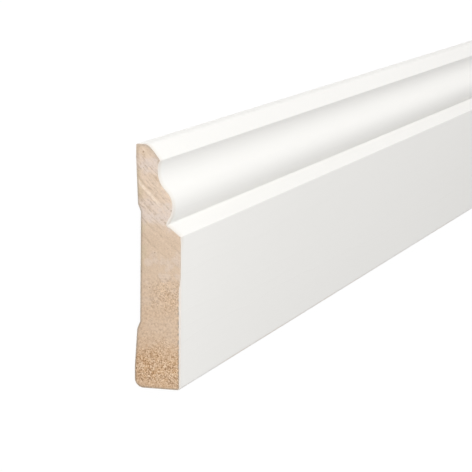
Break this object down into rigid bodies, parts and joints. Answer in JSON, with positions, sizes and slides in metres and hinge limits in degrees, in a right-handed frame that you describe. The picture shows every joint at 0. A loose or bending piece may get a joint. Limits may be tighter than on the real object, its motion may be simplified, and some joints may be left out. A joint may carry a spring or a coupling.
{
  "type": "colonial moulding",
  "caption": "Length of primed pine moulding with an ogee along its head, a flat face, a relieved back and square sawn ends, fixed along a wall as skirting or architrave.",
  "frame": {"origin": "middle of the wall plane: half way along the length, half way across the width, on the back heels", "axes": "+X along the length, +Y across the width towards the moulded head edge, +Z out of the wall through the face"},
  "size_m": [2.4, 0.092, 0.018],
  "materials": {
    "white_primer": "matte",
    "sawn_pine": "matte"
  },
  "bodies": {
    "root": {"moulding": "white_primer"}
  },
  "joints": []
}
